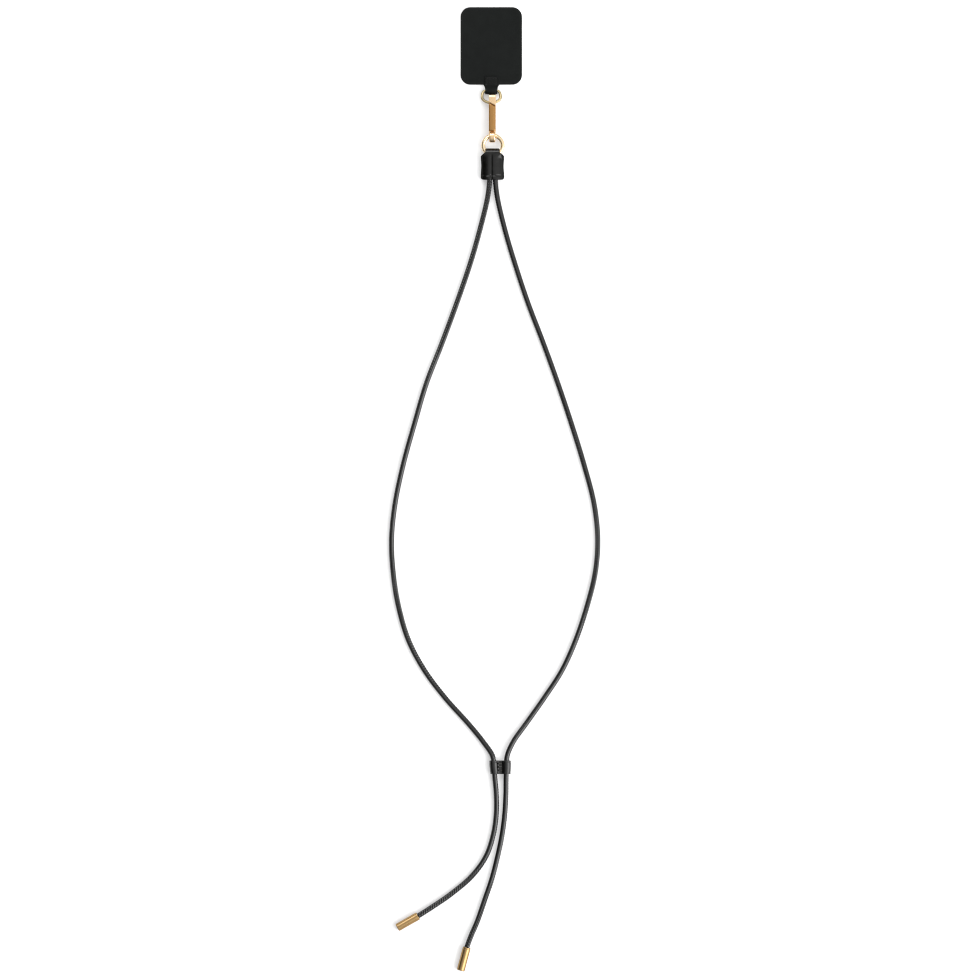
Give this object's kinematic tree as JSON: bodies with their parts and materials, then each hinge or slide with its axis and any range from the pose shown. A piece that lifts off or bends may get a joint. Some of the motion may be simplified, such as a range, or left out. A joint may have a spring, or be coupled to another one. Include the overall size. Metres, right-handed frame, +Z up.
{
  "type": "phone crossbody strap",
  "caption": "Slim black leather cord strap with a sliding leather keeper, a gold clasp and ring, and a thin patch that holds it to a flat case.",
  "frame": {"origin": "middle of the patch's under side, on the surface that the strap lies on", "axes": "+Y from the clasp towards the patch's far edge, along the strap's length; +Z up, out of the patch's top side; +X to the right seen from above"},
  "size_m": [0.1305, 0.5975, 0.01],
  "materials": {
    "patch_sheet": "matt black coated sheet",
    "gold_hardware": "polished pale gold plate",
    "gold_gate": "polished darker gold plate",
    "tab_leather": "smooth black calf, semi-gloss",
    "cord_leather": "rolled and stitched black leather cord"
  },
  "bodies": {
    "strap": {"phone_patch": "patch_sheet", "d_ring": "gold_hardware", "hook_body": "gold_hardware", "ring": "gold_hardware", "leather_tab": "tab_leather", "cord_left": "cord_leather", "cord_right": "cord_leather", "slider": "tab_leather", "end_cap_left": "gold_hardware", "end_cap_right": "gold_hardware"},
    "gate": {"gate": "gold_gate"}
  },
  "joints": [
    {"name": "gate_hinge", "type": "hinge", "parent": "strap", "child": "gate", "pos_m": [0.0006, -0.05175, 0.0069], "axis": [-1, 0, 0], "range_deg": [0, 15], "stiffness_Nm_per_rad": 0.01, "springref_deg": -5.73}
  ]
}
